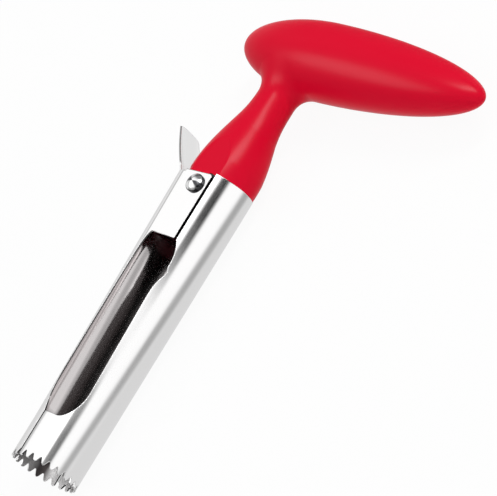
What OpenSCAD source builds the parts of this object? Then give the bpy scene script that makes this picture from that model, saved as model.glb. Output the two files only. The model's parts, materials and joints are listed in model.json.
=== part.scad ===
// Apple corer with a hinged barrel, lying on its side as it comes to rest.
// The barrel is two rolled steel halves on a plastic plug. One half is fixed, the other turns on
// a rivet: a thumb lever at its top opens the barrel so that the core drops out.
// Each module is drawn about the barrel's axis: z = 0 is the collar, where steel meets plastic,
// +z runs up into the handle, +x is the side of the long handle arm, and y is the rivet's axis.

/* [Barrel] */
// Outside diameter of the barrel
barrel_d = 23.8; // [23:0.1:25]
// Thickness of the steel sheet
sheet = 0.6; // [0.5:0.1:0.8]
// Length from the collar to the tips of the teeth
barrel_length = 111.3; // [106:0.1:130]
// Number of teeth round the mouth
teeth_count = 24; // [16:2:32]
// Height of each tooth
tooth_depth = 2.2; // [1.2:0.1:3]
// Turn of the ring of teeth, in degrees
teeth_turn = -2.3; // [-7:0.1:7]

/* [Window] */
// Distance from the collar down to the top of the window
window_top = 25.2; // [24.5:0.2:28]
// Distance from the collar down to the lowest point of the window
window_bottom = 94.6; // [86:0.2:98]
// Depth of the fixed half beside the window, from the barrel's outside to its edge
strip_depth = 4.5; // [4:0.1:5.4]
// Depth of the hinged half beside the window, from the barrel's outside to its edge
jaw_depth = 4.7; // [4:0.1:5.4]
// Run of the curve that rounds the window's lower end
window_curve = 11; // [8:0.5:13]

/* [Hinge] */
// Distance from the collar down to the rivet
rivet_drop = 5.6; // [5:0.1:7]
// Diameter of the rivet's shank
rivet_d = 4; // [3:0.1:4.4]
// Diameter of the rivet's heads
rivet_head_d = 6.6; // [5.5:0.1:7.5]
// Height of the rivet's heads
rivet_head_h = 2; // [1:0.1:2.4]
// Height of the upright rim under each head's dome
rivet_rim = 0.5; // [0.2:0.1:0.8]
// How far the top of the hinged half stands back behind the barrel's axis
jaw_setback = 2.5; // [2:0.1:3]
// How far the flats that carry the rivet lie inside the barrel's round
flat_inset = 1.3; // [1:0.1:1.6]
// Outside radius of the bend from the hinged half's round back to its flats
shoulder_r = 4.8; // [4.2:0.1:5.2]
// Distance from the collar down to the top of the flats
flat_drop = 0.9; // [0.2:0.1:1.2]
// Distance from the upper seam to the line where the fixed half's ears meet its round wall
seam_inset = 1.4; // [1:0.1:2]
// How far the fixed half's ears run on under the seam
seam_lap = 2.4; // [1.5:0.1:3]
// Width of the upper seam, which the hinged half swings into
seam_gap = 1.1; // [0.7:0.1:1.2]
// Distance of the lower seam behind the barrel's axis
lower_seam_x = 2.8; // [1.5:0.1:4]
// Width of the lower seam
lower_gap = 0.6; // [0.2:0.05:0.8]

/* [Lever] */
// Height of the lever's tip above the collar
lever_height = 13.6; // [10:0.1:16]
// How far the lever's tip stands out from the wall that it grows from
lever_flare = 10.2; // [6:0.1:12]
// Distance from the collar down to the root of the lever's bend
lever_root = 2.5; // [1:0.1:3]
// Width of the lever at its root
lever_width = 16; // [12:0.5:16]
// Width of the lever near its tip
lever_tip_width = 11; // [8:0.5:14]
// Height of the rounding at the lever's end
lever_end = 1.2; // [0.6:0.1:4]

/* [Handle] */
// Length of the grip from tip to tip
grip_length = 101; // [90:0.2:120]
// Greatest diameter of the grip
grip_d = 26.6; // [24:0.2:30]
// Length of the grip's short arm, measured from the barrel's axis
short_arm = 22.2; // [19:0.1:28]
// Distance of the grip's thickest place from the tip of its short arm
belly = 36; // [30:1:45]
// Height of the grip's axis over the collar
grip_height = 49.6; // [46:0.1:56]
// Rise of the grip towards its long arm, in degrees
grip_tilt = 6.3; // [0:0.1:12]
// How far the neck stands in from the barrel's outside at the collar
collar_step = 0.5; // [0.1:0.1:0.9]
// How far the neck bulges towards the long arm
bulge_depth = 0.9; // [0:0.1:1.2]
// Height over which the bulge grows out of the collar
bulge_rise = 6; // [3:0.5:10]
// Height over the collar at which the neck's swell ends in the throat
swell_height = 33.5; // [28:0.5:36]
// Radius of the neck under the grip
throat_r = 6.6; // [5.5:0.1:8]
// How far the throat leans towards the long arm
throat_lean = 1.5; // [0:0.1:2]
// Radius of the fillet between neck and grip
grip_fillet = 4; // [3:0.5:5]
// Depth of the plug inside the barrel
plug_depth = 22; // [21:0.5:24]

/* [Spring] */
// Diameter of the spring's wire
wire_d = 0.8; // [0.6:0.1:1]
// Number of coils round the rivet
coils = 4; // [2:1:5]
// Length of the spring's leg down the plug
spring_leg = 9; // [6:0.5:11]

/* [Clearances] */
// Play between the rivet's shank and the hinged half's holes
pivot_play = 0.05; // [0.03:0.01:0.1]
// Play between the plug and the steel round it
plug_play = 0.05; // [0.03:0.01:0.1]
// Room round each ear in its pocket
pocket_room = 0.3; // [0.2:0.05:0.5]
// Gap between pieces that lie side by side
side_gap = 0.1; // [0.08:0.01:0.2]

/* [Hidden] */
$fn = 96;
reach = 300;
outer_r = barrel_d / 2;
inner_r = outer_r - sheet;
rivet_z = -rivet_drop;
rivet_r = rivet_d / 2;
// The hinged half is coaxial with the barrel round the mouth and leans back above that.
mouth_rise = 1.5;
mouth_top = window_bottom + mouth_rise;
lean = asin(jaw_setback / (mouth_top - rivet_drop));
strip_offset = outer_r - strip_depth;
jaw_offset = outer_r - jaw_depth;
flat_half = outer_r - flat_inset;
neck_r = outer_r - collar_step;
// The fixed half's own ears lie under the hinged half's flats, and the plug lies between them.
jaw_flat_in = flat_half - sheet;
ear_out = jaw_flat_in - side_gap;
ear_in = ear_out - sheet;
neck_flat = ear_out - plug_play;
// Where the middle of an ear's sheet meets the middle of the round wall, and the seam beside it.
wall_x = sqrt(pow(outer_r - sheet / 2, 2) - pow((ear_in + ear_out) / 2, 2));
seam_x = wall_x - seam_inset;
seam_fixed = seam_x + seam_gap / 2;
seam_jaw = seam_x - seam_gap / 2;
ear_r = rivet_d + 0.1;
// Side of a tooth in shares of half its pitch and of its height: the tip is rounded.
tooth_side = [[1, 0.055], [0.82, 0.09], [0.62, 0.23], [0.13, 1]];
// The small curves are drawn for a barrel of 23.8 mm and scale with it.
fine = barrel_d / 23.8;
// How far the foot and the edge of the fillet under the grip sink into what they join.
sink = 0.06;
// The bend's centre: its circle touches both the barrel's round and the flat.
shoulder_y = flat_half - shoulder_r;
shoulder_x = sqrt(pow(outer_r - shoulder_r, 2) - shoulder_y * shoulder_y);
plug_r = inner_r - plug_play;
// The coils lie one beside the other, with room on the rivet and in the plug's slot.
coil_steps = 16;
coil_gap = wire_d / 8;
coil_pitch = wire_d + coil_gap;
turns = coils + 0.3;
spring_r = rivet_r + 5 * coil_gap + wire_d / 2;
slot_half = (turns * coil_pitch + wire_d) / 2 + wire_d;
// Place of the finished piece: it lies with the rivet's axis upright.
grip_centre_x = (belly - short_arm) * cos(grip_tilt);
grip_centre_z = grip_height + (belly - short_arm) * sin(grip_tilt);
long_part = grip_length - belly;
grip_r = grip_d / 2;
reach_long = sqrt(pow(long_part * cos(grip_tilt), 2) + pow(grip_r * sin(grip_tilt), 2));
reach_up = sqrt(pow(long_part * sin(grip_tilt), 2) + pow(grip_r * cos(grip_tilt), 2));
x_max = grip_centre_x + reach_long;
z_max = grip_centre_z + reach_up;
lever_tip_x = -(outer_r + lever_flare - 0.1) * cos(lean) - (mouth_top + lever_height) * sin(lean);
short_end = grip_centre_x - sqrt(pow(belly * cos(grip_tilt), 2) + pow(grip_r * sin(grip_tilt), 2));
x_min = min(short_end, lever_tip_x);
y_mid = (z_max - barrel_length) / 2;
x_mid = (x_max + x_min) / 2;

// A point of the cubic curve with the four control points a, b, c and d.
function curve_point(a, b, c, d, t) =
    a * pow(1 - t, 3) + b * 3 * t * pow(1 - t, 2) + c * 3 * t * t * (1 - t) + d * pow(t, 3);
function curve(a, b, c, d, steps) = [for (i = [0:steps]) curve_point(a, b, c, d, i / steps)];
// The same from a start point, with the four points drawn for a barrel of 23.8 mm.
function drawn_curve(start, a, b, c, d, steps) =
    [for (p = curve(a, b, c, d, steps)) start + fine * p];

// Turns a shape drawn upright into the lying pose, centred on the floor.
module lay_down() {
    translate([-x_mid, -y_mid, grip_r])
        rotate([-90, 0, 0])
            children();
}

// Cuts along the y axis: the flat outline holds [x, z] points.
module through_cut(points) {
    rotate([90, 0, 0])
        linear_extrude(height = 4 * outer_r, center = true)
            polygon(points);
}

// One notch between two teeth, open at the mouth. Its sides curve out to round the teeth's tips.
module notch() {
    half_pitch = outer_r * tan(180 / teeth_count);
    side = [for (p = tooth_side) [p[0] * half_pitch, p[1] * tooth_depth]];
    other_side = [for (p = backwards(side)) [-p[0], p[1]]];
    rotate([90, 0, 90])
        linear_extrude(height = 2 * outer_r)
            polygon(concat([[half_pitch, -1]], side, other_side, [[-half_pitch, -1]]));
}

module notches() {
    for (i = [0:teeth_count - 1])
        rotate([0, 0, 360 / teeth_count * i + teeth_turn])
            translate([0, 0, -barrel_length])
                notch();
}

// The plain tube that both halves are cut from.
module tube() {
    difference() {
        translate([0, 0, -barrel_length])
            cylinder(r = outer_r, h = barrel_length);
        translate([0, 0, -barrel_length - 1])
            cylinder(r = inner_r, h = barrel_length + 2);
    }
}

// Outline of the fixed half seen along the rivet: everything on the +x side of its edge.
function fixed_edge() = concat(
    [[seam_fixed, 1]],
    drawn_curve([seam_fixed, -window_top], [0, 0], [1.6, -3], [2, -5.5], [2, -9.5], 8),
    drawn_curve([strip_offset, -window_top], [0.8, -11], [0.4, -14], [-0.6, -15], [-0.5, -21], 8),
    drawn_curve([strip_offset, -window_bottom], [0.3, window_curve / fine], [0.2, 4.5], [-2.6, 0], [-5, 0], 12),
    [[-lower_seam_x, -window_bottom], [-lower_seam_x, -barrel_length - 1]]);

module fixed_blade() {
    color([0.78, 0.79, 0.8])
        lay_down()
            difference() {
                union() {
                    intersection() {
                        tube();
                        through_cut(concat(fixed_edge(), [[reach, -barrel_length - 1], [reach, 1]]));
                    }
                    for (side = [-1, 1])
                        fixed_ear(side);
                }
                notches();
                rotate([90, 0, 0])
                    translate([0, rivet_z, -reach / 2])
                        cylinder(r = rivet_r + pivot_play, h = reach);
            }
}

// Outline of an ear: an eye round the rivet, an arm to the rolled wall, and a flange that runs down
// behind the seam. Room widens it all round for the pocket that it lies in.
module ear_outline(end_x, room) {
    eye = ear_r + room;
    flange_x = seam_x - seam_lap - room;
    flange_foot = window_top - rivet_drop - 0.8 + room;
    flange_top = rivet_drop - 0.5 + room;
    union() {
        circle(r = eye);
        translate([0, -eye])
            square([end_x, 2 * eye]);
        translate([flange_x, -flange_foot])
            square([end_x - flange_x, flange_foot + flange_top]);
    }
}

// A flat ear under the hinged half's flat, joined to the rolled wall.
module fixed_ear(side) {
    translate([0, side * (ear_in + ear_out) / 2, rivet_z])
        rotate([90, 0, 0])
            linear_extrude(height = sheet, center = true)
                ear_outline(wall_x, 0);
}

// Places a shape drawn about the hinged half's own axis, which leans back above the mouth.
module leaning() {
    translate([0, 0, -mouth_top])
        rotate([0, -lean, 0])
            translate([0, 0, mouth_top])
                children();
}

// The hinged half's outline: the barrel's round, a bend on each side and two flats, all moved
// inwards by an inset.
module bent_outline(inset) {
    union() {
        intersection() {
            circle(r = outer_r - inset);
            polygon([[0, 0], -20 * [shoulder_x, shoulder_y], [-reach, 0], 20 * [-shoulder_x, shoulder_y]]);
        }
        for (side = [-1, 1])
            translate([-shoulder_x, side * shoulder_y])
                circle(r = shoulder_r - inset);
        translate([-shoulder_x, inset - flat_half])
            square([reach, 2 * (flat_half - inset)]);
    }
}

// Section of the hinged half's back, up to where its flats begin.
module back_section() {
    intersection() {
        difference() {
            bent_outline(0);
            bent_outline(sheet);
        }
        translate([-reach - shoulder_x, -reach / 2])
            square([reach, reach]);
    }
}

module ring_section() {
    difference() {
        circle(r = outer_r);
        circle(r = inner_r);
    }
}

// Section of the two flats, which run on from the bends.
module flats_section() {
    for (side = [-1, 1])
        translate([-shoulder_x, side * (flat_half - sheet / 2) - sheet / 2])
            square([2 * outer_r, sheet]);
}

// Outline of the hinged half seen along the rivet, in the order top, window, mouth.
function jaw_edge() = concat(
    [[-shoulder_x - 2, -flat_drop - 1]],
    drawn_curve([seam_jaw, -flat_drop], [-1, 0], [-0.45, 0], [0, -0.45], [0, -1], 4),
    [[seam_jaw, -window_top]],
    drawn_curve([-jaw_offset, -window_top], [1.8, -0.2], [1.2, -0.8], [0.4, -3.6], [0.2, -8], 8),
    drawn_curve([-jaw_offset, -window_bottom], [-0.4, 15], [-0.4, 8], [2.4, 5],
                ([jaw_offset - lower_seam_x - lower_gap, 0]) / fine, 12),
    [[-lower_seam_x - lower_gap, -barrel_length - 1]]);

module hinged_blade() {
    color([0.74, 0.75, 0.77])
        lay_down()
            difference() {
                union() {
                    intersection() {
                        jaw_shell();
                        through_cut(concat(jaw_edge(), [[-reach, -barrel_length - 1], [-reach, -flat_drop - 1]]));
                    }
                    lever();
                }
                notches();
                rotate([90, 0, 0])
                    translate([0, rivet_z, -reach / 2])
                        cylinder(r = rivet_r + pivot_play, h = reach);
            }
}

// All that lies above (side 1) or below (side -1) the mitre where the lean begins.
module mitre_side(side) {
    translate([0, 0, -mouth_top])
        rotate([0, -lean / 2, 0])
            translate([-reach / 2, -reach / 2, side > 0 ? 0 : -reach])
                cube(reach);
}

// The upper part leans back and carries the flats, the lower part is round and true at the mouth.
module jaw_shell() {
    flats_bottom = -window_bottom + 16 * fine;
    overrun = 2;
    union() {
        intersection() {
            leaning()
                translate([0, 0, -mouth_top - overrun])
                    linear_extrude(height = mouth_top + overrun + flats_bottom)
                        ring_section();
            mitre_side(1);
        }
        leaning() {
            translate([0, 0, flats_bottom])
                linear_extrude(height = -flats_bottom - lever_root)
                    back_section();
            translate([0, 0, flats_bottom])
                linear_extrude(height = -flats_bottom + 4)
                    flats_section();
        }
        intersection() {
            translate([0, 0, -barrel_length])
                linear_extrude(height = barrel_length - mouth_top + overrun)
                    ring_section();
            mitre_side(-1);
        }
    }
}

// Centreline of the lever's section in [radius, z]: it leaves the wall and flares outwards.
function lever_line(steps) = curve(
    [outer_r - sheet / 2, -lever_root], [outer_r - sheet / 2, -lever_root + 1.5],
    [outer_r + lever_flare * 0.35, lever_height * 0.24],
    [outer_r + lever_flare - sheet / 2, lever_height], steps);

// Moves each point of a line sideways by a distance, square to the line. The first point moves
// level, so that the lever's root meets the wall's end face.
function beside(line, distance) = [for (i = [0:len(line) - 1])
    let (run = line[min(i + 1, len(line) - 1)] - line[max(i - 1, 0)])
    i == 0 ? line[0] + [distance, 0] : line[i] + distance * [run[1], -run[0]] / norm(run)];

function backwards(line) = [for (i = [len(line) - 1:-1:0]) line[i]];

// The thumb lever: the wall bends outwards like the lip of a bell and ends in a round tongue.
module lever() {
    half = lever_width / 2;
    tip_half = lever_tip_width / 2;
    line = lever_line(14);
    round_end = [for (a = [0:10:180]) [tip_half * cos(a), lever_height - lever_end * (1 - sin(a))]];
    leaning()
        intersection() {
            rotate_extrude()
                polygon(concat(beside(line, sheet / 2), backwards(beside(line, -sheet / 2))));
            rotate([90, 0, -90])
                linear_extrude(height = reach)
                    polygon(concat([[half, -lever_root - 1]], round_end, [[-half, -lever_root - 1]]));
        }
}

module hinge_rivet() {
    color([0.7, 0.71, 0.73])
        lay_down()
            translate([0, 0, rivet_z])
                rotate([90, 0, 0]) {
                    cylinder(r = rivet_r, h = 2 * (flat_half + side_gap), center = true);
                    for (side = [0, 1])
                        mirror([0, 0, side])
                            translate([0, 0, flat_half + side_gap])
                                rivet_head();
                }
}

// A low dome, cut from a sphere, on an upright rim.
module rivet_head() {
    head_r = rivet_head_d / 2;
    rise = rivet_head_h - rivet_rim;
    dome_r = (head_r * head_r + rise * rise) / (2 * rise);
    cylinder(r = head_r, h = rivet_rim);
    intersection() {
        translate([0, 0, rivet_head_h - dome_r])
            sphere(r = dome_r);
        cylinder(r = head_r, h = rivet_head_h + 1);
    }
}

// Radius of the neck's swell at height z: it ends inside the throat.
neck_top_r = throat_r - throat_lean;
function neck_radius(z) = neck_top_r
    + (neck_r - neck_top_r) * pow((1 + cos(180 * min(1, z / swell_height))) / 2, 0.75);

// Height of the grip's underside over the point x, y: the lower root of the spheroid's equation.
function grip_under(x, y) =
    let (
        dx = x - grip_centre_x,
        run = cos(grip_tilt),
        climb = sin(grip_tilt),
        arm = dx < 0 ? belly : long_part,
        a = pow(climb / arm, 2) + pow(run / grip_r, 2),
        b = 2 * dx * run * climb * (1 / (arm * arm) - 1 / (grip_r * grip_r)),
        c = dx * dx * (pow(run / arm, 2) + pow(climb / grip_r, 2)) + pow(y / grip_r, 2) - 1
    )
    grip_centre_z + (-b - sqrt(b * b - 4 * a * c)) / (2 * a);

module handle() {
    color([0.83, 0.05, 0.13])
        lay_down()
            difference() {
                union() {
                    grip();
                    grip_skirt();
                    neck();
                    plug();
                }
                spring_slot();
                for (side = [-1, 1])
                    ear_pocket(side);
                rotate([90, 0, 0])
                    translate([0, rivet_z, -reach / 2])
                        cylinder(r = rivet_r + plug_play / 2, h = reach);
            }
}

// The grip turns a half outline made of two quarter ellipses that meet at the belly.
module grip() {
    steps = 36;
    short_side = [for (i = [0:steps]) let (a = 90 * i / steps) [grip_r * sin(a), -belly * cos(a)]];
    long_side = [for (i = [1:steps]) let (a = 90 * i / steps) [grip_r * cos(a), long_part * sin(a)]];
    translate([grip_centre_x, 0, grip_centre_z])
        rotate([0, 90 - grip_tilt, 0])
            rotate_extrude()
                polygon(concat(short_side, long_side, [[0, -belly]]));
}

module neck() {
    outline = [for (z = [0:1:swell_height]) [neck_radius(z), z]];
    bulge = [for (z = [0:1:swell_height])
        [neck_radius(z) - (bulge_depth - collar_step) * max(0, 1 - z / bulge_rise), z]];
    intersection() {
        union() {
            rotate_extrude()
                polygon(concat([[0, 0]], outline, [[neck_top_r, swell_height], [0, swell_height]]));
            translate([bulge_depth, 0, 0])
                rotate_extrude()
                    polygon(concat([[0, 0]], bulge, [[neck_top_r, swell_height], [0, swell_height]]));
            translate([throat_lean, 0, 0])
                rotate_extrude()
                    polygon([[0, swell_height / 2], [throat_r - 0.4, swell_height / 2], [throat_r, swell_height * 0.75],
                             [throat_r, grip_height - grip_r / 2], [0, grip_height - grip_r / 2]]);
        }
        translate([-reach / 2, -neck_flat, -1])
            cube([reach, 2 * neck_flat, grip_height]);
    }
}

// The fillet between throat and grip: in each direction round the throat, a curve leaves the
// throat's wall upright and meets the grip's underside along its slope. Both ends sink in.
module grip_skirt() {
    steps = 8;
    around = 40;
    lift = 0.06;
    foot_r = throat_r + lift;
    edge_r = throat_r + grip_fillet;
    columns = [for (j = [0:around - 1])
        let (
            a = 360 * j / around,
            foot_z = grip_under(throat_lean + foot_r * cos(a), foot_r * sin(a)) - grip_fillet,
            edge_z = grip_under(throat_lean + edge_r * cos(a), edge_r * sin(a)) - lift,
            near_z = grip_under(throat_lean + (edge_r - 0.5) * cos(a), (edge_r - 0.5) * sin(a)) - lift,
            slope = [0.5, edge_z - near_z] / norm([0.5, edge_z - near_z]),
            pull = 0.5 * grip_fillet,
            line = concat(
                [[foot_r - 0.6, foot_z - 1]],
                curve([foot_r, foot_z], [foot_r, foot_z + pull], [edge_r, edge_z] - pull * slope, [edge_r, edge_z], steps),
                [[edge_r - 0.2, edge_z + 1]])
        )
        [for (p = line) [throat_lean + p[0] * cos(a), p[0] * sin(a), p[1]]]];
    rows = len(columns[0]);
    count = around * rows;
    walls = [for (j = [0:around - 1]) for (i = [0:rows - 2])
        let (n = (j + 1) % around)
        [j * rows + i, j * rows + i + 1, n * rows + i + 1, n * rows + i]];
    foot_cap = [for (j = [0:around - 1]) [count, j * rows, ((j + 1) % around) * rows]];
    edge_cap = [for (j = [0:around - 1]) [count + 1, ((j + 1) % around) * rows + rows - 1, j * rows + rows - 1]];
    polyhedron(
        points = concat([for (column = columns) for (p = column) p],
                        [[throat_lean, 0, grip_height - grip_r - grip_fillet], [throat_lean, 0, grip_height]]),
        faces = concat(walls, foot_cap, edge_cap), convexity = 6);
}

module plug() {
    intersection() {
        translate([0, 0, -plug_depth])
            rotate_extrude()
                polygon([[0, 0], [plug_r - 1, 0], [plug_r, 1], [plug_r, plug_depth], [0, plug_depth]]);
        translate([-reach / 2, -neck_flat, -reach])
            cube([reach, 2 * neck_flat, 2 * reach]);
    }
}

// Room for one ear of the fixed half, let into the plug's flat.
module ear_pocket(side) {
    depth = outer_r - ear_in + plug_play;
    translate([0, side * (outer_r - depth / 2), rivet_z])
        rotate([90, 0, 0])
            linear_extrude(height = depth, center = true)
                ear_outline(outer_r, pocket_room);
}

// Slot for the spring's coils and legs, open towards the hinged half.
module spring_slot() {
    translate([0, 0, rivet_z])
        rotate([90, 0, 0])
            linear_extrude(height = 2 * slot_half, center = true)
                union() {
                    circle(r = spring_r + wire_d);
                    polygon([[0, spring_r + wire_d], [-outer_r, rivet_drop + 4 * wire_d],
                             [-outer_r, wire_d], [0, -wire_d]]);
                    translate([spring_r - wire_d, -spring_leg - wire_d])
                        square([2 * wire_d, spring_leg + wire_d]);
                }
}

// The spring's centreline: a leg down the plug, the coils, and a leg out to the hinged half.
function spring_path() = concat(
    [[spring_r, coil_pitch * turns / 2, -spring_leg]],
    [for (i = [0:floor(turns * coil_steps)]) let (a = 360 * i / coil_steps)
        [spring_r * cos(a), coil_pitch * (turns / 2 - i / coil_steps), spring_r * sin(a)]],
    [[-jaw_setback - inner_r + wire_d, -coil_pitch * turns / 2, rivet_drop + wire_d]]);

function unit(v) = v / norm(v);

module return_spring() {
    path = spring_path();
    count = len(path);
    sides = 8;
    rings = [for (i = [0:count - 1])
        let (
            ahead = unit(path[min(i + 1, count - 1)] - path[max(i - 1, 0)]),
            across = unit(cross(ahead, [0, 1, 0.001])),
            up = cross(across, ahead)
        )
        for (k = [0:sides - 1])
            path[i] + wire_d / 2 * (across * cos(360 * k / sides) + up * sin(360 * k / sides))];
    walls = [for (i = [0:count - 2]) for (k = [0:sides - 1])
        let (n = (k + 1) % sides)
        [i * sides + k, i * sides + n, (i + 1) * sides + n, (i + 1) * sides + k]];
    ends = [[for (k = [0:sides - 1]) sides - 1 - k], [for (k = [0:sides - 1]) (count - 1) * sides + k]];
    color([0.6, 0.6, 0.62])
        lay_down()
            translate([0, 0, rivet_z])
                polyhedron(points = rings, faces = concat(walls, ends), convexity = 6);
}

handle();
fixed_blade();
hinged_blade();
hinge_rivet();
return_spring();
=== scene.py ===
import json

import bmesh
import bpy
import numpy as np
from mathutils import Matrix, Vector


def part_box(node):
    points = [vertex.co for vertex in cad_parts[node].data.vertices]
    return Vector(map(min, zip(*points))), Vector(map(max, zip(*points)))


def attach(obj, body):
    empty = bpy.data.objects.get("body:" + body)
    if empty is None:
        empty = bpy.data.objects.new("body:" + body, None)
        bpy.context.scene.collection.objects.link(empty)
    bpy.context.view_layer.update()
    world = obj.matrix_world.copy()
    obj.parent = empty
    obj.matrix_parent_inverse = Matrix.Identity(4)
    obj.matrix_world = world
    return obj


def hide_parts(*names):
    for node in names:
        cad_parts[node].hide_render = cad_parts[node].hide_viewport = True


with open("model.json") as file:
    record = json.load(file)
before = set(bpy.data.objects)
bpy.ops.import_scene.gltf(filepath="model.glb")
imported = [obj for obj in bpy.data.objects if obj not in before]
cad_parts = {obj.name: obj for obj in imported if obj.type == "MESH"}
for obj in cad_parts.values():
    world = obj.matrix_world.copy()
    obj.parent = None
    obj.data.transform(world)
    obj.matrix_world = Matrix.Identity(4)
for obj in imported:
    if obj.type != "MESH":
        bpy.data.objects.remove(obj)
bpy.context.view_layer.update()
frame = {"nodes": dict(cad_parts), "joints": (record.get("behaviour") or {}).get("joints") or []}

bl_info = {
    "name": "Apple corer",
    "version": (1, 0, 0),
    "blender": (4, 5, 0),
    "location": "3D View > Sidebar > Corer",
    "description": "Finishes the handle, the barrel, the rivet and the spring of an apple corer",
    "category": "Object",
}

MM = 0.001

# Places in the lying corer's millimetres: both ends of the barrel along Y, and the rivet, which
# stands on the barrel's axis.
MOUTH, COLLAR = (corner[1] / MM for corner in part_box("fixed_blade"))
AXIS_X, RIVET_Y, AXIS_Z = (place / MM for place in frame["joints"][0]["pos_m"])


# ---------- nodes ----------

class Nodes:
    """The emptied node tree of a material or world, with short ways to add and join its nodes."""

    def __init__(self, tree):
        self.tree = tree
        tree.nodes.clear()

    def add(self, kind):
        return self.tree.nodes.new(kind)

    def link(self, out, into):
        self.tree.links.new(out, into)

    def feed(self, value, into):
        """Links an output to a socket, or sets a plain value on it."""
        if isinstance(value, bpy.types.NodeSocket):
            self.link(value, into)
        else:
            into.default_value = value

    def math(self, operation, first, second=0.0):
        """One Math node on outputs or numbers."""
        node = self.add("ShaderNodeMath")
        node.operation = operation
        self.feed(first, node.inputs[0])
        self.feed(second, node.inputs[1])
        return node.outputs[0]

    def vector_math(self, operation, first, second=(0.0, 0.0, 0.0)):
        """One Vector Math node. A dot product gives a value, and all others a vector."""
        node = self.add("ShaderNodeVectorMath")
        node.operation = operation
        self.feed(first, node.inputs[0])
        self.feed(second, node.inputs[1])
        return node.outputs["Value" if operation == "DOT_PRODUCT" else "Vector"]

    def finish(self, surface, kind="ShaderNodeOutputMaterial"):
        """Links a shader to the tree's output."""
        self.link(surface, self.add(kind).inputs["Surface"])


def new_material(name):
    """A material and the helper for its emptied node tree."""
    mat = bpy.data.materials.new(name)
    mat.use_nodes = True
    return mat, Nodes(mat.node_tree)


def on_object(n):
    """Object coordinates."""
    return n.add("ShaderNodeTexCoord").outputs["Object"]


def surface_normal(n):
    """The surface's own normal, without bump or rounded edges."""
    return n.add("ShaderNodeNewGeometry").outputs["Normal"]


def stretched(n, scale):
    """Object coordinates, stretched by a scale along each axis."""
    mapping = n.add("ShaderNodeMapping")
    n.link(on_object(n), mapping.inputs["Vector"])
    mapping.inputs["Scale"].default_value = scale
    return mapping.outputs["Vector"]


def split(n, vector):
    """A vector's parts, by the names X, Y and Z."""
    node = n.add("ShaderNodeSeparateXYZ")
    n.link(vector, node.inputs[0])
    return node.outputs


def noise(n, vector, scale, detail=2.0, roughness=0.5):
    """Cloudy noise from 0 to 1."""
    node = n.add("ShaderNodeTexNoise")
    n.link(vector, node.inputs["Vector"])
    node.inputs["Scale"].default_value = scale
    node.inputs["Detail"].default_value = detail
    node.inputs["Roughness"].default_value = roughness
    return node.outputs["Fac"]


def ranged(n, value, low, high):
    """A value from 0 to 1, spread from low to high."""
    node = n.add("ShaderNodeMapRange")
    n.link(value, node.inputs["Value"])
    node.inputs["To Min"].default_value = low
    node.inputs["To Max"].default_value = high
    return node.outputs["Result"]


def ramp(n, value, low, high):
    """0 up to one value, 1 from another on, and straight between them."""
    node = n.add("ShaderNodeMapRange")
    n.link(value, node.inputs["Value"])
    node.inputs["From Min"].default_value = low
    node.inputs["From Max"].default_value = high
    return node.outputs["Result"]


def between(n, kind, mask, first, second):
    """One colour or vector where a mask is 0 and another where it is 1."""
    node = n.add("ShaderNodeMix")
    node.data_type = kind
    n.link(mask, node.inputs["Factor"])
    n.feed(first, node.inputs["A"])
    n.feed(second, node.inputs["B"])
    return node.outputs["Result"]


def shaded(n, mask, first, second):
    """One colour where a mask is 0 and another where it is 1, as outputs or red, green and blue."""
    colors = [(*color, 1.0) if isinstance(color, tuple) else color for color in (first, second)]
    return between(n, "RGBA", mask, *colors)


# ---------- where a finish lies ----------

# Where a finish changes, in millimetres: the place where its mask is 0 and the place where it is 1.
# Along Y these are the barrel's inside, its cut edges, the lever, the ground mouth, the foot of
# the window and the plug.
INSIDE_Y = (COLLAR + 2.0, COLLAR - 1.0)
EDGES_Y = (COLLAR + 0.1, COLLAR - 0.5)
LEVER_Y = (COLLAR, COLLAR + 0.5)
GROUND_Y = (MOUTH + 9.0, MOUTH + 4.0)
WINDOW_FOOT_Y = (MOUTH + 21.0, MOUTH + 17.0)
PLUG_SHADE_Y = (COLLAR - 4.0, COLLAR - 9.0)
# Along X these are the seams, and the middle and right of the mouth.
SEAMS_X = (AXIS_X - 5.5, AXIS_X - 4.5)
MOUTH_MIDDLE_X = (AXIS_X - 10.6, AXIS_X - 9.2)
MOUTH_RIGHT_X = (AXIS_X - 7.6, AXIS_X - 5.8)
# Both edges of the narrow strip's place along X, and the distance from the axis in Z that parts
# the ears from the flats over them.
STRIP_X = (AXIS_X - 9.3, AXIS_X - 5.5)
EARS_BELOW = 10.2
# How squarely a surface has to face along an axis, for its mask to be 0 and to be 1: the edges
# at the seams and the lever, and the strip's edge. Facing the barrel's axis is below 0.
FACES_EDGE = (0.75, 0.9)
FACES_STRIP = (0.84, 0.92)
FACES_AXIS = (-0.1, -0.4)


def along(n, axis, low, high):
    """A ramp along one axis of the object, between two places in millimetres."""
    return ramp(n, split(n, on_object(n))[axis], low * MM, high * MM)


def along_radius(n):
    """The normal times the direction from the barrel's axis: 1 outside, -1 inside, 0 on an edge."""
    shift = n.vector_math("SUBTRACT", on_object(n), (AXIS_X * MM, 0.0, AXIS_Z * MM))
    radial = n.vector_math("NORMALIZE", n.vector_math("MULTIPLY", shift, (1.0, 0.0, 1.0)))
    return n.vector_math("DOT_PRODUCT", radial, surface_normal(n))


def inner_walls(n):
    """1 on walls below the collar that face the barrel's axis and 0 on those that face away."""
    return n.math("MULTIPLY", ramp(n, along_radius(n), *FACES_AXIS), along(n, "Y", *INSIDE_Y))


def edge_on(n, steepness):
    """1 where the surface stands across the sheet, as its cut edges do, and 0 elsewhere."""
    return n.math("LESS_THAN", n.math("ABSOLUTE", along_radius(n)), steepness)


def cut_edges(n):
    """1 on the sheet's cut edges below the collar, 0 elsewhere."""
    return n.math("MULTIPLY", edge_on(n, 0.5), along(n, "Y", *EDGES_Y))


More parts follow.
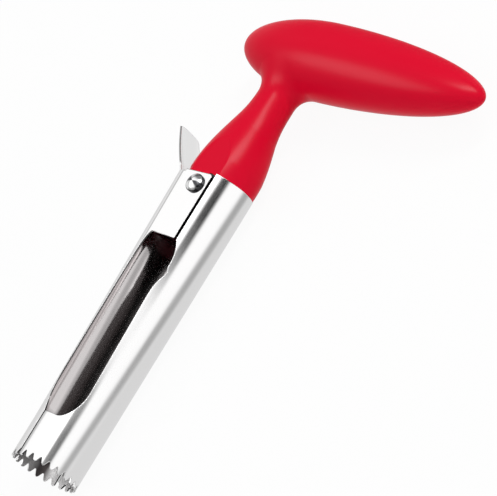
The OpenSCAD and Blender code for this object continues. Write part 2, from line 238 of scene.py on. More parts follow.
def seam_edges(n):
    """1 on the cut edges that face the seams, 0.6 on the lever's sides, 0 elsewhere: where painted
    shadow darkens them.
    """
    facing = split(n, surface_normal(n))
    right = n.math("MULTIPLY", ramp(n, facing["X"], *FACES_EDGE), edge_on(n, 0.72))
    seams = n.math("MULTIPLY", right, along(n, "X", *SEAMS_X))
    sides = n.math("MULTIPLY", ramp(n, facing["Z"], *FACES_EDGE), along(n, "Y", *LEVER_Y))
    return n.math("MAXIMUM", seams, n.math("MULTIPLY", sides, 0.6))


def strip_edge(n):
    """1 on the cut edge of the narrow strip beside the window, which faces across it, and 0
    elsewhere."""
    x = split(n, on_object(n))["X"]
    low, high = STRIP_X
    here = n.math("MULTIPLY", n.math("GREATER_THAN", x, low * MM),
                  n.math("LESS_THAN", x, high * MM))
    return n.math("MULTIPLY", here, ramp(n, split(n, surface_normal(n))["X"], *FACES_STRIP))


def hidden_ears(n):
    """1 on the level faces of the ears, which lie lower than the flats over them, 0 elsewhere."""
    height = n.math("ABSOLUTE", n.math("SUBTRACT", split(n, on_object(n))["Z"], AXIS_Z * MM))
    level = n.math("GREATER_THAN", n.math("ABSOLUTE", split(n, surface_normal(n))["Z"]), 0.97)
    return n.math("MULTIPLY", n.math("LESS_THAN", height, EARS_BELOW * MM), level)


# ---------- materials ----------

# Colours by place: painted shade on the steel at the window's foot, on the strip's cut edge and in
# the seams, and painted reflections and shade in the ground mouth from its left to its right. The
# plug is red plastic, darkened as painted shade for the barrel's shade.
WINDOW_FOOT_SHADE = (0.03, 0.03, 0.03)
STRIP_EDGE_SHADE = (0.2, 0.2, 0.2)
SEAM_SHADOW = (0.03, 0.03, 0.03)
MOUTH_LEFT_REFLECTION = (0.6, 0.59, 0.59)
MOUTH_MIDDLE_SHADE = (0.08, 0.07, 0.07)
MOUTH_RIGHT_REFLECTION = (0.66, 0.65, 0.65)
PLUG_SHADE = (0.045, 0.008, 0.011)
# The rivet's head: its dark and bright wedges, which are painted reflections, and its rim, which is
# painted shade.
DARK_WEDGE_REFLECTION = (0.07, 0.07, 0.075)
BRIGHT_WEDGE_REFLECTION = (0.92, 0.92, 0.92)
RIVET_RIM_SHADE = (0.05, 0.05, 0.053)

STEEL_BUMP = 0.25
# How much rougher the steel is than its gloss: inside the ground mouth, on cut edges and on the
# strip's edge.
ROUGH_GROUND, ROUGH_CUT, ROUGH_STRIP = 0.3, 0.15, 0.4
# The lines of rolled sheet run along the barrel, and wire has none that show.
SHEET_LINES = (2600.0, 22.0, 2600.0)
WIRE_LINES = (1500.0, 1500.0, 1500.0)
# The lines' depth, and the radius to which edges look rounded, in millimetres.
SHEET_DEPTH, WIRE_DEPTH = 0.004, 0.02
FIXED_EDGE, HINGED_EDGE, WIRE_EDGE = 0.25, 0.5, 0.25


def polished_steel(n, gloss, lines_scale, depth, edge):
    """Steel with fine lines, a cloudy polish, a shallow bump and edges that look rounded. It gives
    the shader, its roughness, the bump and the normal of the rounded edges."""
    lines = noise(n, stretched(n, lines_scale), 1.0, 3.0, 0.6)
    cloud = noise(n, on_object(n), 90.0, 3.0)
    rough = n.math("ADD", ranged(n, lines, gloss * 0.55, gloss * 1.2),
                   ranged(n, cloud, -gloss * 0.15, gloss * 0.25))
    bump = n.add("ShaderNodeBump")
    bump.inputs["Strength"].default_value = STEEL_BUMP
    bump.inputs["Distance"].default_value = depth * MM
    n.link(lines, bump.inputs["Height"])
    rounded = n.add("ShaderNodeBevel")
    rounded.samples = 8
    rounded.inputs["Radius"].default_value = edge * MM
    shader = n.add("ShaderNodeBsdfPrincipled")
    shader.inputs["Metallic"].default_value = 1.0
    n.link(bump.outputs["Normal"], shader.inputs["Normal"])
    n.finish(shader.outputs["BSDF"])
    return shader, rough, bump, rounded.outputs["Normal"]


def sheet_steel(name, color, gloss, inside, edge, ears=False):
    """Polished sheet with another colour and no bump inside the barrel, black seams of painted
    shadow and a ground mouth whose colours are painted reflections and shade. For the fixed half
    the inside colour is painted shade. With ears, their hidden faces count as inside. Without,
    painted shade turns the inside dark at the window's foot."""
    mat, n = new_material(name)
    shader, rough, bump, rounded = polished_steel(n, gloss, SHEET_LINES, SHEET_DEPTH, edge)
    strip = strip_edge(n)
    wall = n.math("SUBTRACT", inner_walls(n), strip)
    if ears:
        wall = n.math("MAXIMUM", wall, hidden_ears(n))
    else:
        # Painted shade: the inside is darkened towards the window's foot.
        inside = shaded(n, along(n, "Y", *WINDOW_FOOT_Y), inside, WINDOW_FOOT_SHADE)
    ground = along(n, "Y", *GROUND_Y)
    # Painted reflections and shade: the ground mouth is pale on the left, dark in the middle and
    # pale on the right.
    mouth = shaded(n, along(n, "X", *MOUTH_MIDDLE_X), MOUTH_LEFT_REFLECTION, MOUTH_MIDDLE_SHADE)
    mouth = shaded(n, along(n, "X", *MOUTH_RIGHT_X), mouth, MOUTH_RIGHT_REFLECTION)
    # The inner walls take the inside colour, which in the fixed half is painted shade.
    tint = shaded(n, wall, color, shaded(n, ground, inside, mouth))
    # Painted shade: the strip's cut edge is coloured a dark grey line.
    tint = shaded(n, strip, tint, STRIP_EDGE_SHADE)
    # Painted shadow: the seams are coloured black and the lever's sides are darkened.
    n.link(shaded(n, seam_edges(n), tint, SEAM_SHADOW), shader.inputs["Base Color"])

    cut = cut_edges(n)
    ground_wall = n.math("MULTIPLY", wall, ground)
    for mask, more in ((ground_wall, ROUGH_GROUND), (cut, ROUGH_CUT), (strip, ROUGH_STRIP)):
        rough = n.math("ADD", rough, n.math("MULTIPLY", mask, more))
    n.link(rough, shader.inputs["Roughness"])
    plain = n.math("MAXIMUM", wall, cut)
    n.link(between(n, "VECTOR", plain, rounded, surface_normal(n)), bump.inputs["Normal"])
    strength = n.math("SUBTRACT", STEEL_BUMP, n.math("MULTIPLY", wall, STEEL_BUMP))
    n.link(strength, bump.inputs["Strength"])
    return mat


def wire_steel(name, color, gloss):
    """Drawn wire of one colour."""
    mat, n = new_material(name)
    shader, rough, bump, rounded = polished_steel(n, gloss, WIRE_LINES, WIRE_DEPTH, WIRE_EDGE)
    shader.inputs["Base Color"].default_value = (*color, 1.0)
    n.link(rough, shader.inputs["Roughness"])
    n.link(rounded, bump.inputs["Normal"])
    return mat


def painted_rivet_head(name, gloss):
    """A rivet's head, spun on a lathe, with painted reflections: its marks run in rings, so two
    opposite wedges of the dome are painted bright and the two between them dark, and the upright
    rim is painted dark as shade.
    A wedge's brightness is the sine of the angle about the rivet, without its sign and cut off at
    both ends."""
    mat, n = new_material(name)
    place = split(n, on_object(n))
    x = n.math("SUBTRACT", place["X"], AXIS_X * MM)
    y = n.math("SUBTRACT", place["Y"], RIVET_Y * MM)
    angle = n.math("ADD", n.math("ARCTAN2", y, x), 0.2)
    wedge = ramp(n, n.math("ABSOLUTE", n.math("SINE", angle)), 0.3, 0.65)
    radius = n.math("SQRT", n.math("ADD", n.math("MULTIPLY", x, x), n.math("MULTIPLY", y, y)))
    rim = ramp(n, radius, 2.98 * MM, 3.1 * MM)
    grain = noise(n, stretched(n, (700.0, 700.0, 700.0)), 1.0)
    shader = n.add("ShaderNodeBsdfPrincipled")
    shader.inputs["Metallic"].default_value = 1.0
    # Painted reflection in the bright and dark wedges, and painted shade on the rim.
    tint = shaded(n, rim, shaded(n, wedge, DARK_WEDGE_REFLECTION, BRIGHT_WEDGE_REFLECTION), RIVET_RIM_SHADE)
    n.link(tint, shader.inputs["Base Color"])
    n.link(ranged(n, grain, gloss * 0.8, gloss * 1.3), shader.inputs["Roughness"])
    n.finish(shader.outputs["BSDF"])
    return mat


def satin_plastic(name, color, gloss):
    """Moulded plastic with a satin skin: a fine pebbled bump and patches of uneven gloss. The plug
    inside the barrel is darker, as painted shade."""
    mat, n = new_material(name)
    grain = noise(n, on_object(n), 2600.0)
    cloud = noise(n, on_object(n), 60.0, 3.0)
    bump = n.add("ShaderNodeBump")
    bump.inputs["Strength"].default_value = 0.12
    bump.inputs["Distance"].default_value = 0.03 * MM
    n.link(grain, bump.inputs["Height"])
    shader = n.add("ShaderNodeBsdfPrincipled")
    # Painted shade: the plug below the collar takes a darker red.
    n.link(shaded(n, along(n, "Y", *PLUG_SHADE_Y), color, PLUG_SHADE), shader.inputs["Base Color"])
    shader.inputs["Specular IOR Level"].default_value = 0.05
    n.link(ranged(n, cloud, gloss * 0.85, gloss * 1.15), shader.inputs["Roughness"])
    n.link(bump.outputs["Normal"], shader.inputs["Normal"])
    n.finish(shader.outputs["BSDF"])
    return mat


def dress(obj, mat):
    """Puts one material into every slot of a CAD node or a new piece."""
    slots = obj.data.materials
    if len(slots) == 0:
        slots.append(mat)
    for i in range(len(slots)):
        slots[i] = mat


# ---------- meshes ----------

def to_place(x, y, z):
    """Upright millimetres, about the collar's centre, to the lying corer's metres."""
    return np.stack([x + AXIS_X, z + COLLAR, AXIS_Z - y], axis=-1) * MM


def closed_mesh(name, points, faces):
    """A mesh whose doubled points are merged and whose faces point outwards."""
    mesh = bpy.data.meshes.new(name)
    mesh.from_pydata(points.tolist(), [], faces)
    bm = bmesh.new()
    bm.from_mesh(mesh)
    bmesh.ops.remove_doubles(bm, verts=bm.verts, dist=2e-6)
    bmesh.ops.recalc_face_normals(bm, faces=bm.faces)
    bm.to_mesh(mesh)
    bm.free()
    return mesh


def grid_faces(rings, cols, wraps):
    """The quads between neighbours in a grid of points, rings by columns. Where it wraps, the last
    column joins the first."""
    i, j = np.meshgrid(np.arange(rings - 1), np.arange(cols if wraps else cols - 1), indexing="ij")
    k = (j + 1) % cols
    quads = np.stack([i * cols + j, i * cols + k, (i + 1) * cols + k, (i + 1) * cols + j], axis=-1)
    return quads.reshape(-1, 4).tolist()


def tube_mesh(name, x, y, z):
    """A closed tube from a grid of upright points. The grid itself draws its first and last ring to
    a point."""
    points = to_place(x, y, z)
    rings, cols = points.shape[:2]
    return closed_mesh(name, points.reshape(-1, 3), grid_faces(rings, cols, wraps=True))


def joined(name, meshes):
    """One mesh of several shells, smooth but for edges sharper than 35 degrees."""
    bm = bmesh.new()
    for part in meshes:
        bm.from_mesh(part)
    mesh = bpy.data.meshes.new(name)
    bm.to_mesh(mesh)
    bm.free()
    mesh.polygons.foreach_set("use_smooth", np.ones(len(mesh.polygons), bool))
    mesh.set_sharp_from_angle(angle=np.radians(35.0))
    return mesh


def placed(name, data):
    """A new object in the scene, at the origin."""
    obj = bpy.data.objects.new(name, data)
    bpy.context.scene.collection.objects.link(obj)
    return obj


# ---------- the plug's cuts ----------

# Millimetres about the rivet. Cuts that leave the plug end at the barrel's outside.
BARREL_R = 11.9
RIVET_HOLE_R = 2.03
# The spring's slot: its coil's radius, half its width, the leg's groove, and where it opens.
COIL_R = 3.7
SLOT_HALF = 3.135
LEG_WIDTH, LEG_LENGTH = 1.6, 9.8
OPEN_LOW, OPEN_HIGH = 0.8, 8.8
# The ears' pockets: their inner face, their round end, and the flange's near side, foot and top.
EAR_IN = 9.25
EAR_R = 4.4
FLANGE_NEAR, FLANGE_FOOT, FLANGE_TOP = 2.4, -19.1, 5.4


def disc(radius):
    """48 points on a circle."""
    a = np.linspace(0, 2 * np.pi, 48, endpoint=False)
    return np.stack([radius * np.cos(a), radius * np.sin(a)], axis=-1)


def oblong(x0, x1, z0, z1):
    """The four corners of a rectangle."""
    return np.array([[x0, z0], [x1, z0], [x1, z1], [x0, z1]])


def bar(outline, low, high):
    """A closed bar: an outline about the rivet, carried along the rivet's axis from low to high."""
    x, z = outline.T
    z = z + (RIVET_Y - COLLAR)
    i = np.arange(len(x))
    k = (i + 1) % len(x)
    walls = np.stack([i, k, len(x) + k, len(x) + i], axis=-1)
    points = np.concatenate([to_place(x, low + 0 * x, z), to_place(x, high + 0 * x, z)])
    return closed_mesh("bar", points, [i.tolist(), (len(x) + i).tolist()] + walls.tolist())


def plug_cutter():
    """The bars that are cut out of the plug: the rivet's hole, the spring's slot, which opens
    towards the lever, and a shallow pocket for the ear of the fixed half on each flat."""
    opening = np.array([[0.0, COIL_R], [-BARREL_R, OPEN_HIGH],
                        [-BARREL_R, OPEN_LOW], [0.0, -OPEN_LOW]])
    leg = oblong(COIL_R - LEG_WIDTH, COIL_R, -LEG_LENGTH, 0.0)
    bars = [bar(disc(RIVET_HOLE_R), -BARREL_R, BARREL_R)]
    bars += [bar(outline, -SLOT_HALF, SLOT_HALF) for outline in (disc(COIL_R), opening, leg)]
    ear = (disc(EAR_R), oblong(0.0, BARREL_R, -EAR_R, EAR_R),
           oblong(FLANGE_NEAR, BARREL_R, FLANGE_FOOT, FLANGE_TOP))
    for low, high in ((EAR_IN, BARREL_R), (-BARREL_R, -EAR_IN)):
        bars += [bar(outline, low, high) for outline in ear]
    return joined("plug_cutter", bars)


def carved(context, mesh, cutter):
    """A mesh with another cut out of it."""
    blank, tool = placed("neck_blank", mesh), placed("plug_cutter", cutter)
    cut = blank.modifiers.new("pockets", "BOOLEAN")
    cut.operation = "DIFFERENCE"
    cut.solver = "EXACT"
    cut.use_self = True
    cut.object = tool
    result = bpy.data.meshes.new_from_object(blank.evaluated_get(context.evaluated_depsgraph_get()))
    for obj in (blank, tool):
        bpy.data.objects.remove(obj)
    if len(result.polygons) <= len(mesh.polygons):
        raise RuntimeError("the plug's pockets were not cut")
    return result


# ---------- the handle's surfaces ----------

# How far the neck bulges right at the collar, the height over which the bulge grows to its full
# size, and the widths of the two blends, all in millimetres.
COLLAR_BULGE = 0.5
BULGE_RISE = 6.0
BULGE_BLEND = 0.6
THROAT_BLEND = 1.5
# Under this share of the swell's height the throat narrows by this much for each millimetre.
THROAT_FROM = 0.62
THROAT_SLOPE = 0.25

# Rings along the grip and columns round it, and the columns round the neck.
GRIP_RINGS, GRIP_COLS = 161, 128
NECK_COLS = 256
# The rings up the neck, and over the skirt that spreads under the grip. The skirt's height, its
# spread as a share of the fillet, its rise towards the long arm for each millimetre, and how far
# its edge is sunk towards the grip's heart.
NECK_RINGS, SKIRT_RINGS = 110, 59
SKIRT_HEIGHT = 3.0
SKIRT_SPREAD = 1.06
SKIRT_RISE = 0.12
SKIRT_SUNK = 0.08


def grip_field(p, s):
    """Below 0 inside the grip: two half spheroids of one radius that meet at the belly."""
    t = np.radians(s.grip_tilt)
    arm = s.belly - s.short_arm
    dx, dz = p[..., 0] - arm * np.cos(t), p[..., 2] - (s.grip_height + arm * np.sin(t))
    lengthwise = dx * np.cos(t) + dz * np.sin(t)
    across = -dx * np.sin(t) + dz * np.cos(t)
    reach = np.where(lengthwise < 0, s.belly, s.grip_length - s.belly)
    r = s.grip_width / 2
    return (np.sqrt((lengthwise / reach) ** 2 + (across ** 2 + p[..., 1] ** 2) / r ** 2) - 1) * r


def swell_radius(z, s):
    """The neck's radius, which falls from the collar to the throat along a raised cosine."""
    low = s.throat_radius - s.throat_lean
    fall = (1 + np.cos(np.pi * np.clip(z / s.swell, 0, 1))) / 2
    return low + (s.neck_radius - low) * fall ** 0.75


def blend_fields(a, b, k):
    """The union of two fields, rounded over a width k where they meet."""
    h = np.clip(k - np.abs(a - b), 0, None) / k
    return np.minimum(a, b) - h * h * k / 4


def handle_field(p, s):
    """Below 0 inside the handle: the neck's swell and its leaning throat, filleted into the
    grip."""
    x, y, z = p[..., 0], p[..., 1], p[..., 2]
    r = swell_radius(z, s)
    rise = (s.neck_bulge - COLLAR_BULGE) * np.clip(1 - z / BULGE_RISE, 0, 1)
    swell = blend_fields(np.hypot(x, y) - r, np.hypot(x - s.neck_bulge, y) - r + rise, BULGE_BLEND)
    throat = np.hypot(x - s.throat_lean, y) - s.throat_radius
    throat = throat + np.clip(s.swell * THROAT_FROM - z, 0, None) * THROAT_SLOPE
    return blend_fields(blend_fields(swell, throat, THROAT_BLEND), grip_field(p, s), s.fillet)


def onto(p, field, s, steps=24):
    """Moves points down a field's slope until they lie where it is 0."""
    e = 1e-3
    for _ in range(steps):
        f = field(p, s)
        g = np.stack([(field(p + d, s) - field(p - d, s)) / (2 * e) for d in np.eye(3) * e],
                     axis=-1)
        p = p - 0.9 * (f / np.maximum((g * g).sum(-1), 1e-6))[..., None] * g
    return p


def grip_surface(s, rings, cols):
    """Half outlines of two quarter ellipses, turned about the grip's own axis. The rings stand
    close together at both tips."""
    t = np.radians(s.grip_tilt)
    a = np.linspace(-np.pi / 2, np.pi / 2, rings)[:, None]
    turn = np.linspace(0, 2 * np.pi, cols, endpoint=False)[None, :]
    lengthwise = np.where(a < 0, s.belly, s.grip_length - s.belly) * np.sin(a) + 0 * turn
    r = s.grip_width / 2 * np.cos(a)
    across, y = r * np.cos(turn), r * np.sin(turn)
    arm = s.belly - s.short_arm
    x = arm * np.cos(t) + lengthwise * np.cos(t) - across * np.sin(t)
    z = s.grip_height + arm * np.sin(t) + lengthwise * np.sin(t) + across * np.cos(t)
    return tube_mesh("grip", x, y, z)


def neck_surface(s, cols):
    """Rings from the plug's foot to the fillet's edge. Above the collar each ring is first laid on
    a tube that opens like a trumpet, and then moved onto the handle's field. The flats are cut
    last, where the neck is wider than they are."""
    turn = np.linspace(0, 2 * np.pi, cols, endpoint=False)[None, :]
    plug = np.array([[0.0, -s.plug_depth], [s.plug_radius - 1, -s.plug_depth],
                     [s.plug_radius, 1 - s.plug_depth], [s.plug_radius, -0.02],
                     [s.neck_radius, 0.0]])
    foot = np.stack([plug[:, :1] * np.cos(turn), plug[:, :1] * np.sin(turn),
                     plug[:, 1:] + 0 * turn], axis=-1)

    half = s.grip_width / 2
    top = s.grip_height - half
    z = np.linspace(0.05, top - SKIRT_HEIGHT, NECK_RINGS)[:, None] + 0 * turn
    lean = s.throat_lean * np.clip(z / s.swell, 0, 1)
    r = np.maximum(swell_radius(z, s), s.throat_radius)
    body = np.stack([lean + r * np.cos(turn), r * np.sin(turn), z], axis=-1)

    a = np.linspace(0, np.pi / 2, SKIRT_RINGS + 1)[1:, None]
    climb = np.sin(a)
    r = s.throat_radius + s.fillet * SKIRT_SPREAD * (1 - np.cos(a)) + 0 * turn
    curl = half - np.sqrt(half ** 2 - np.clip(r * np.sin(turn), -half + 0.2, half - 0.2) ** 2)
    z = top - SKIRT_HEIGHT + SKIRT_HEIGHT * climb + curl * climb
    z = z + SKIRT_RISE * r * np.cos(turn) * climb
    skirt = np.stack([s.throat_lean + r * np.cos(turn), r * np.sin(turn), z], axis=-1)

    walls = onto(np.concatenate([body, skirt]), handle_field, s)
    edge = walls[-1:]
    heart = np.array([s.throat_lean, 0.0, s.grip_height])
    sunk = edge + (heart - edge) * SKIRT_SUNK
    x, y, z = np.moveaxis(np.concatenate([foot, walls, sunk, heart + 0 * edge]), -1, 0)
    y = np.where(z < s.swell, np.clip(y, -s.flat_offset, s.flat_offset), y)
    return tube_mesh("neck", x, y, z)


# ---------- sizes and colours ----------

class CorerHandleSettings(bpy.types.PropertyGroup):
    color: bpy.props.FloatVectorProperty(
        name="Plastic colour", description="Colour of the moulded handle",
        default=(0.74, 0.003, 0.027), size=3, min=0.0, max=1.0, subtype="COLOR")
    gloss: bpy.props.FloatProperty(
        name="Roughness", description="Roughness of the satin skin",
        default=0.3, min=0.05, max=1.0, subtype="FACTOR")
    # The grip is a hair smaller than its solid, so that the smoother surface stays in its box.
    grip_length: bpy.props.FloatProperty(
        name="Grip length", description="Millimetres from tip to tip of the grip",
        default=100.98, min=80.0)
    grip_width: bpy.props.FloatProperty(
        name="Grip width", description="Greatest diameter of the grip in millimetres",
        default=26.57, min=15.0)
    short_arm: bpy.props.FloatProperty(
        name="Short arm", description="Millimetres from the barrel's axis to the grip's near tip",
        default=22.2)
    belly: bpy.props.FloatProperty(
        name="Belly", description="Millimetres from the near tip to the grip's thickest place",
        default=36.0)
    grip_height: bpy.props.FloatProperty(
        name="Grip height", description="Millimetres from the collar to the grip's axis",
        default=49.6)
    grip_tilt: bpy.props.FloatProperty(
        name="Grip tilt", description="Rise of the grip towards its long arm, in degrees",
        default=6.3)
    neck_radius: bpy.props.FloatProperty(
        name="Neck radius", description="Radius of the neck at the collar in millimetres",
        default=11.4)
    throat_radius: bpy.props.FloatProperty(
        name="Throat radius", description="Radius of the neck under the grip in millimetres",
        default=6.6)
    throat_lean: bpy.props.FloatProperty(
        name="Throat lean", description="Millimetres that the throat leans to the long arm",
        default=1.5)
    neck_bulge: bpy.props.FloatProperty(
        name="Neck bulge", description="Millimetres that the neck bulges to the long arm",
        default=0.9)
    swell: bpy.props.FloatProperty(
        name="Swell height", description="Millimetres from the collar to the end of the swell",
        default=33.5)
    fillet: bpy.props.FloatProperty(
        name="Fillet", description="Width of the blend between neck and grip in millimetres",
        default=5.4)
    flat_offset: bpy.props.FloatProperty(
        name="Flats", description="Millimetres from the axis to the neck's flats",
        default=9.85)
    plug_radius: bpy.props.FloatProperty(
        name="Plug radius", description="Radius of the plug inside the barrel in millimetres",
        default=11.25)
    plug_depth: bpy.props.FloatProperty(
        name="Plug depth", description="Depth of the plug inside the barrel in millimetres",
        default=22.0)


class CorerSteelSettings(bpy.types.PropertyGroup):
    color: bpy.props.FloatVectorProperty(
        name="Steel colour", description="Colour of the polished sheet",
        default=(0.9, 0.895, 0.895), size=3, min=0.0, max=1.0, subtype="COLOR")
    # Painted shade: the fixed half's inner wall is coloured dark.
    fixed_inside_shade: bpy.props.FloatVectorProperty(
        name="Inside of the fixed half", description="Colour of the fixed half's inner wall",
        default=(0.045, 0.04, 0.04), size=3, min=0.0, max=1.0, subtype="COLOR")
    hinged_inside: bpy.props.FloatVectorProperty(
        name="Inside of the hinged half", description="Colour of the hinged half's inner wall",
        default=(0.86, 0.82, 0.82), size=3, min=0.0, max=1.0, subtype="COLOR")
    wire_color: bpy.props.FloatVectorProperty(
        name="Wire colour", description="Colour of the spring's wire",
        default=(0.56, 0.56, 0.58), size=3, min=0.0, max=1.0, subtype="COLOR")
    gloss: bpy.props.FloatProperty(
        name="Sheet roughness", description="Roughness of the polished sheet",
        default=0.14, min=0.02, max=1.0, subtype="FACTOR")
    rivet_gloss: bpy.props.FloatProperty(
        name="Rivet roughness", description="Roughness of the rivet's heads",
        default=0.16, min=0.02, max=1.0, subtype="FACTOR")
    wire_gloss: bpy.props.FloatProperty(
        name="Wire roughness", description="Roughness of the spring's wire",
        default=0.3, min=0.02, max=1.0, subtype="FACTOR")


class CorerStageSettings(bpy.types.PropertyGroup):
    floor_size: bpy.props.FloatProperty(
        name="Floor size", description="Side of the pale floor",
        default=3.0, min=0.5, unit="LENGTH")
    camera_distance: bpy.props.FloatProperty(
        name="Camera distance", description="Distance from the camera to the corer",
        default=6.0, min=0.3, unit="LENGTH")


# ---------- pieces ----------

class CORER_OT_handle(bpy.types.Operator):
    """Finish the moulded handle"""
    bl_idname = "corer.handle"
    bl_label = "Handle"

    def execute(self, context):
        s = context.scene.corer_handle
        neck = carved(context, neck_surface(s, NECK_COLS), plug_cutter())
        grip = grip_surface(s, GRIP_RINGS, GRIP_COLS)
        piece = placed("moulded_handle", joined("moulded_handle", [grip, neck]))
        dress(piece, satin_plastic("satin_red_plastic", tuple(s.color), s.gloss))
        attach(piece, "handle_body")
        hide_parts("handle")
        return {"FINISHED"}


class CORER_OT_barrel(bpy.types.Operator):
    """Finish the two rolled halves of the barrel"""
    bl_idname = "corer.barrel"
    bl_label = "Barrel"

    def execute(self, context):
        s = context.scene.corer_steel
        color = tuple(s.color)
        # The fixed half's inside colour is painted shade.
        dress(frame["nodes"]["fixed_blade"],
              sheet_steel("fixed_half_steel_painted_shade", color, s.gloss, tuple(s.fixed_inside_shade),
                          FIXED_EDGE, ears=True))
        dress(frame["nodes"]["hinged_blade"],
              sheet_steel("hinged_half_steel", color, s.gloss, tuple(s.hinged_inside),
                          HINGED_EDGE))
        return {"FINISHED"}


class CORER_OT_fittings(bpy.types.Operator):
    """Finish the rivet and the return spring"""
    bl_idname = "corer.fittings"
    bl_label = "Rivet and spring"

    def execute(self, context):
        s = context.scene.corer_steel
        dress(frame["nodes"]["hinge_rivet"], painted_rivet_head("rivet_steel_painted_reflection", s.rivet_gloss))
        dress(frame["nodes"]["return_spring"],
              wire_steel("drawn_spring_wire", tuple(s.wire_color), s.wire_gloss))
        return {"FINISHED"}


# ---------- stage ----------

# The tent's radius and length in millimetres, and the angle of its hidden seam.
TENT_RADIUS, TENT_LENGTH = 350.0, 2400.0
TENT_SEAM = -215
# The tent's grey and dark bands, in degrees round the barrel's axis, with t as in tent_glow: place
# at t = 0, drift for each t, half width at t = 0, how much it narrows for each t, half width of
# the even core, and how much light it takes.
TOP_BAND = (41.5, 12.5, 20.0, 4.0, 8.0, 1.0)
SIDE_BAND = (-45.0, 40.0, 24.0, 8.0, 6.0, 0.62)
LEFT_BAND = (-203.0, 0.0, 12.0, 0.0, 3.0, 0.45)

# Name, place, the point it shines at, size in metres, watts, and whether it lights matt surfaces
# too or only shows as a soft highlight.
LAMPS = (
    ("key_light", (-0.45, -0.2, 0.75), (0, 0.05, 0), (0.3, 0.3), 0.7, True),
    ("ridge_light", (0.2, 0.55, 0.62), (0, 0.05, 0), (0.12, 0.3), 2.2, True),
    ("ridge_sheen", (0.3, 0.42, 0.78), (0, 0.05, 0), (0.24, 0.75), 15.0, False),
    ("grip_sheen", (-0.4, -0.36, 0.7), (0, 0.06, 0), (0.6, 0.35), 6.5, False),
    ("fill_light", (0.75, -0.75, 0.35), (0, 0, 0), (0.4, 0.4), 0.5, True),
)

# The share of its own white that the floor shows to the camera. The rest is lit paint.
FLOOR_WHITE = 0.94
# How strongly the sky lights, and how bright it is where it is seen.
SKY_LIGHT, SKY_SEEN = 0.62, 1.0

# The photograph's view before its roll: unit vectors to the right, up and back to the camera. Then
# the cosine and sine of the roll, millimetres from the collar to the picture's middle along the
# first two vectors, and the metres across the picture at the corer.
VIEW = np.array([[0.7314, 0.0, -0.6820], [0.1360, 0.9799, 0.1458], [0.6683, -0.1994, 0.7167]])
ROLL = (0.8517, 0.5240)
MIDDLE = (18.31, -12.72)
PICTURE_WIDTH = 0.1603


def step(value, start, width):
    """0 below a start, 1 from one width further on, and straight between them."""
    return np.clip((value - start) / width, 0, 1)


def soft_band(angle, centre, half, core):
    """1 over a band's core, falling to 0 at its edges along a raised cosine."""
    t = np.clip((np.abs(angle - centre) - core) / (half - core), 0, 1)
    return (1 + np.cos(np.pi * t)) / 2


def slanted_band(angle, t, band):
    """The light that a band takes: its depth times a soft band whose place and width follow t."""
    place, drift, half, narrowing, core, depth = band
    return depth * soft_band(angle, place + drift * t, half - narrowing * t, core)


def tent_glow(angle, y):
    """Brightness of the studio tent at an angle round the barrel's axis and a place along it, where
    t runs from 0 at 94 mm to 1 at -17 mm. It is 1, less pale grey cloth underneath, a grey band at
    the side and one on the left, and a dark band where the tent is open over the corer, which fades
    beside the window. Both ends of the tent are dark."""
    t = np.clip((94.0 - y) / 111.0, -1.2, 2.2)
    near = step(-y, -250.0, 100.0)
    underneath = step(-54 + 42 * t - angle, 0.0, 14.0) * step(angle, TENT_SEAM, 40.0)
    glow = 1.0 - 0.33 * underneath * near - 0.24 * (1 - near) * step(-angle, 50.0, 20.0)
    glow = glow - slanted_band(angle, t, SIDE_BAND) * near - slanted_band(angle, t, LEFT_BAND)
    beside_window = step(t, 0.34, 0.08) * step(-t, -0.82, 0.1)
    opening = (1.0 - 0.12 * np.clip(t, 0, 1)) * (1 - beside_window)
    glow = glow - opening * slanted_band(angle, t, TOP_BAND)
    reach = step(angle, -60.0, 40.0) + step(-angle, 118.0, 20.0)
    ends = step(np.abs(y - 20), 170.0, 160.0) * reach
    return np.clip(glow, 0.02, 1.0) * (1.1 - 0.9 * ends)


def studio_tent(radius, length):
    """A tube of cloth round the corer that only the steel and the gloss of the plastic show. Its
    points lie on a circle about the barrel's axis, carried along Y."""
    angle = np.linspace(TENT_SEAM, TENT_SEAM + 360, 361)[None, :]
    y = np.linspace(-length / 2, length / 2, 161)[:, None]
    a = np.radians(angle)
    points = np.stack([AXIS_X + radius * np.cos(a) + 0 * y, y + 0 * a,
                       AXIS_Z + radius * np.sin(a) + 0 * y], axis=-1) * MM
    rows, cols = points.shape[:2]
    mesh = bpy.data.meshes.new("studio_tent")
    mesh.from_pydata(points.reshape(-1, 3).tolist(), [], grid_faces(rows, cols, wraps=False))
    layer = mesh.attributes.new("glow", "FLOAT", "POINT")
    layer.data.foreach_set("value", tent_glow(angle, y).astype(np.float32).ravel())
    mat, n = new_material("tent_cloth")
    value = n.add("ShaderNodeAttribute")
    value.attribute_name = "glow"
    shine = n.add("ShaderNodeEmission")
    n.link(value.outputs["Fac"], shine.inputs["Strength"])
    n.finish(shine.outputs["Emission"])
    tent = placed("studio_tent", mesh)
    dress(tent, mat)
    tent.visible_camera = False
    tent.visible_diffuse = False
    tent.visible_shadow = False
    tent.visible_transmission = False


def soft_lamp(name, place, target, size, watts, lights):
    """A flat lamp that shines at a point."""
    data = bpy.data.lights.new(name, "AREA")
    data.shape = "RECTANGLE"
    data.size, data.size_y = size
    data.energy = watts
    lamp = placed(name, data)
    lamp.location = place
    lamp.rotation_euler = (Vector(target) - Vector(place)).to_track_quat("-Z", "Y").to_euler()
    lamp.visible_diffuse = lights


def mixed(n, share, first, second):
    """Two shaders, with the second one's share given."""
    mix = n.add("ShaderNodeMixShader")
    for value, socket in zip((share, first, second), mix.inputs):
        n.link(value, socket)
    return mix.outputs[0]


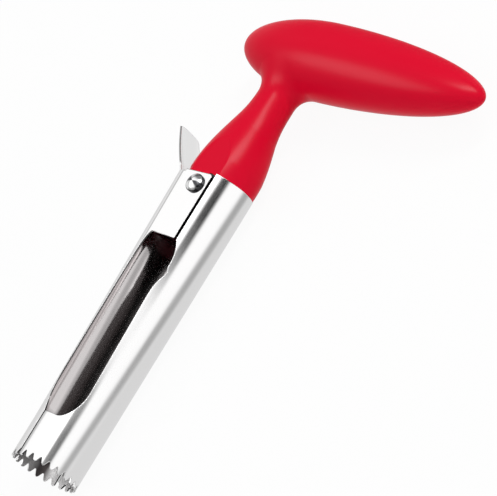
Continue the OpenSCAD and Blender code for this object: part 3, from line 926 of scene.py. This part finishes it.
def pale_floor(side):
    """A square floor that is almost an even white to the camera and keeps the corer's shadow."""
    half = side / 2
    mesh = bpy.data.meshes.new("floor")
    corners = [(-half, -half, 0), (half, -half, 0), (half, half, 0), (-half, half, 0)]
    mesh.from_pydata(corners, [], [(0, 1, 2, 3)])
    floor = placed("floor", mesh)
    mat, n = new_material("pale_floor")
    paint = n.add("ShaderNodeBsdfDiffuse")
    paint.inputs["Color"].default_value = (0.9, 0.9, 0.9, 1.0)
    white = n.add("ShaderNodeEmission")
    white.inputs["Strength"].default_value = 1.0
    share = n.math("MULTIPLY", n.add("ShaderNodeLightPath").outputs["Is Camera Ray"], FLOOR_WHITE)
    n.finish(mixed(n, share, paint.outputs[0], white.outputs[0]))
    dress(floor, mat)
    floor.visible_glossy = False


def studio_world(scene):
    """Even light all round, and plain white where the camera or the steel looks past the floor."""
    world = bpy.data.worlds.new("studio")
    scene.world = world
    world.use_nodes = True
    n = Nodes(world.node_tree)
    path = n.add("ShaderNodeLightPath")
    seen = n.math("MAXIMUM", path.outputs["Is Camera Ray"], path.outputs["Is Glossy Ray"])
    skies = []
    for strength in (SKY_LIGHT, SKY_SEEN):
        sky = n.add("ShaderNodeBackground")
        sky.inputs["Color"].default_value = (1, 1, 1, 1)
        sky.inputs["Strength"].default_value = strength
        skies.append(sky.outputs[0])
    n.finish(mixed(n, seen, *skies), "ShaderNodeOutputWorld")


def photo_camera(scene, distance):
    """A camera with a long lens on the photograph's side, rolled about its own view."""
    side, rise, back = VIEW
    cosine, sine = ROLL
    right, up = cosine * side + sine * rise, cosine * rise - sine * side
    target = (np.array([AXIS_X, COLLAR, AXIS_Z]) + MIDDLE[0] * side + MIDDLE[1] * rise) * MM
    data = bpy.data.cameras.new("camera")
    data.sensor_width = 36.0
    data.lens = data.sensor_width * distance / PICTURE_WIDTH
    data.clip_start = 0.5
    cam = placed("camera", data)
    turn = Matrix([list(right), list(up), list(back)]).transposed()
    cam.matrix_world = Matrix.Translation(Vector(target + distance * back)) @ turn.to_4x4()
    scene.camera = cam


class CORER_OT_stage(bpy.types.Operator):
    """Lay the pale floor, set the soft light and place the camera"""
    bl_idname = "corer.stage"
    bl_label = "Stage"

    def execute(self, context):
        s = context.scene.corer_stage
        context.scene.view_settings.view_transform = "Standard"
        pale_floor(s.floor_size)
        studio_world(context.scene)
        for lamp in LAMPS:
            soft_lamp(*lamp)
        studio_tent(TENT_RADIUS, TENT_LENGTH)
        photo_camera(context.scene, s.camera_distance)
        return {"FINISHED"}


# ---------- add-on ----------

SETTINGS = {"corer_handle": CorerHandleSettings, "corer_steel": CorerSteelSettings,
            "corer_stage": CorerStageSettings}
OPERATORS = (CORER_OT_stage, CORER_OT_handle, CORER_OT_barrel, CORER_OT_fittings)


class CORER_PT_panel(bpy.types.Panel):
    """Lists the corer's settings and its operators"""
    bl_idname = "CORER_PT_panel"
    bl_label = "Apple corer"
    bl_space_type = "VIEW_3D"
    bl_region_type = "UI"
    bl_category = "Corer"

    def draw(self, context):
        for group in SETTINGS:
            settings = getattr(context.scene, group)
            for prop in settings.__annotations__:
                self.layout.prop(settings, prop)
        for op in OPERATORS:
            self.layout.operator(op.bl_idname)


CLASSES = (*SETTINGS.values(), *OPERATORS, CORER_PT_panel)


def register():
    for cls in CLASSES:
        bpy.utils.register_class(cls)
    for group, cls in SETTINGS.items():
        setattr(bpy.types.Scene, group, bpy.props.PointerProperty(type=cls))


def unregister():
    for group in SETTINGS:
        delattr(bpy.types.Scene, group)
    for cls in reversed(CLASSES):
        bpy.utils.unregister_class(cls)


def main():
    register()
    bpy.ops.corer.stage()
    bpy.ops.corer.handle()
    bpy.ops.corer.barrel()
    bpy.ops.corer.fittings()


if __name__ == "__main__":
    main()
